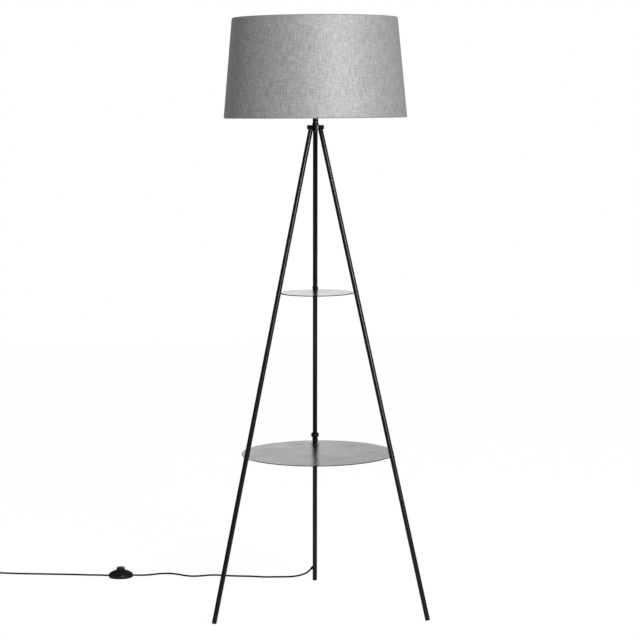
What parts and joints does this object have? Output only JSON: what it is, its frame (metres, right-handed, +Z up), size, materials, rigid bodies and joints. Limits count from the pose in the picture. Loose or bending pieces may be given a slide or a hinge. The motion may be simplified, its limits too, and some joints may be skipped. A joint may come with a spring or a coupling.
{
  "type": "floor lamp",
  "caption": "Tripod floor lamp with splayed black tube legs, round shelves, a drum shade on a short stem, and a floor cord with a foot switch and a plug.",
  "frame": {"origin": "on the floor, under the axis that the hub, stem and shade share", "axes": "+Z up along the lamp's axis; +Y towards the rear leg, from which the cord leaves; +X to the right as seen from the front, where two legs stand"},
  "size_m": [1.2448, 0.6772, 1.5],
  "materials": {
    "black_metal": "satin",
    "shelf_black": "semi-gloss",
    "zinc_steel": "satin",
    "brass": "satin",
    "white_wire": "satin",
    "cord_black": "matte",
    "lead_colour": "satin",
    "foot_rubber": "matte",
    "holder_black": "satin",
    "holder_ceramic": "satin",
    "shade_fabric": "matte",
    "shade_liner": "matte",
    "bulb_opal": "satin",
    "bulb_white": "gloss",
    "cap_nickel": "satin",
    "bulb_insulator": "satin",
    "switch_black": "satin",
    "plug_black": "satin",
    "pin_nickel": "gloss"
  },
  "bodies": {
    "lamp": {"hub_body": "black_metal", "hub_lid": "black_metal", "hub_dome_nut": "black_metal", "stem_pipe": "zinc_steel", "stem_collar": "black_metal", "stem_tube": "black_metal", "left_leg_top": "black_metal", "left_leg_middle": "black_metal", "left_leg_bottom": "black_metal", "right_leg_top": "black_metal", "right_leg_middle": "black_metal", "right_leg_bottom": "black_metal", "rear_leg_top": "black_metal", "rear_leg_middle": "black_metal", "rear_leg_bottom": "black_metal", "front_leg_studs": "zinc_steel", "rear_leg_nipples": "zinc_steel", "front_leg_bushes": "zinc_steel", "rear_leg_bushes": "zinc_steel", "left_foot": "foot_rubber", "right_foot": "foot_rubber", "rear_foot": "foot_rubber", "rear_leg_collar": "black_metal", "collar_grub_screw": "zinc_steel", "upper_shelf": "shelf_black", "lower_shelf": "shelf_black", "cord_in_leg": "cord_black", "lamp_leads": "lead_colour", "cord_grommet": "cord_black", "holder_cap": "holder_black", "holder_body": "holder_black", "holder_insert": "holder_ceramic", "holder_shell": "brass", "centre_contact": "brass", "terminal_screws": "brass", "shade_ring": "holder_black", "shade_fabric": "shade_fabric", "shade_liner": "shade_liner", "shade_top_wire": "white_wire", "shade_bottom_wire": "white_wire", "shade_spider": "white_wire", "switch_base": "switch_black", "switch_cover": "switch_black", "switch_spring": "zinc_steel", "switch_contacts": "brass", "switch_clamps": "switch_black", "switch_screws": "zinc_steel", "cord_to_switch": "cord_black", "cord_to_coil": "cord_black", "cord_coil": "cord_black", "cord_tie": "switch_black", "cord_tail": "cord_black", "plug_body": "plug_black", "plug_pins": "pin_nickel"},
    "switch_button": {"switch_button": "switch_black"},
    "bulb_tip": {"bulb_contact": "brass"},
    "bulb": {"bulb_globe": "bulb_opal", "bulb_housing": "bulb_white", "bulb_cap": "cap_nickel", "bulb_insulator": "bulb_insulator"}
  },
  "joints": [
    {"name": "button_press", "type": "slide", "parent": "lamp", "child": "switch_button", "axis": [0, 0, -1], "range_m": [0, 0.0035], "stiffness_N_per_m": 800, "deforming": ["switch_spring"]},
    {"name": "bulb_rise", "type": "slide", "parent": "lamp", "child": "bulb_tip", "axis": [0, 0, 1], "range_m": [0, 0.0182]},
    {"name": "bulb_turn", "type": "hinge", "parent": "bulb_tip", "child": "bulb", "pos_m": [0, 0, 1.35], "axis": [0, 0, 1], "range_deg": [0, 1800]}
  ],
  "couplings": [
    {"joint": "bulb_rise", "follows": "bulb_turn", "m_per_rad": 0.00057773}
  ]
}
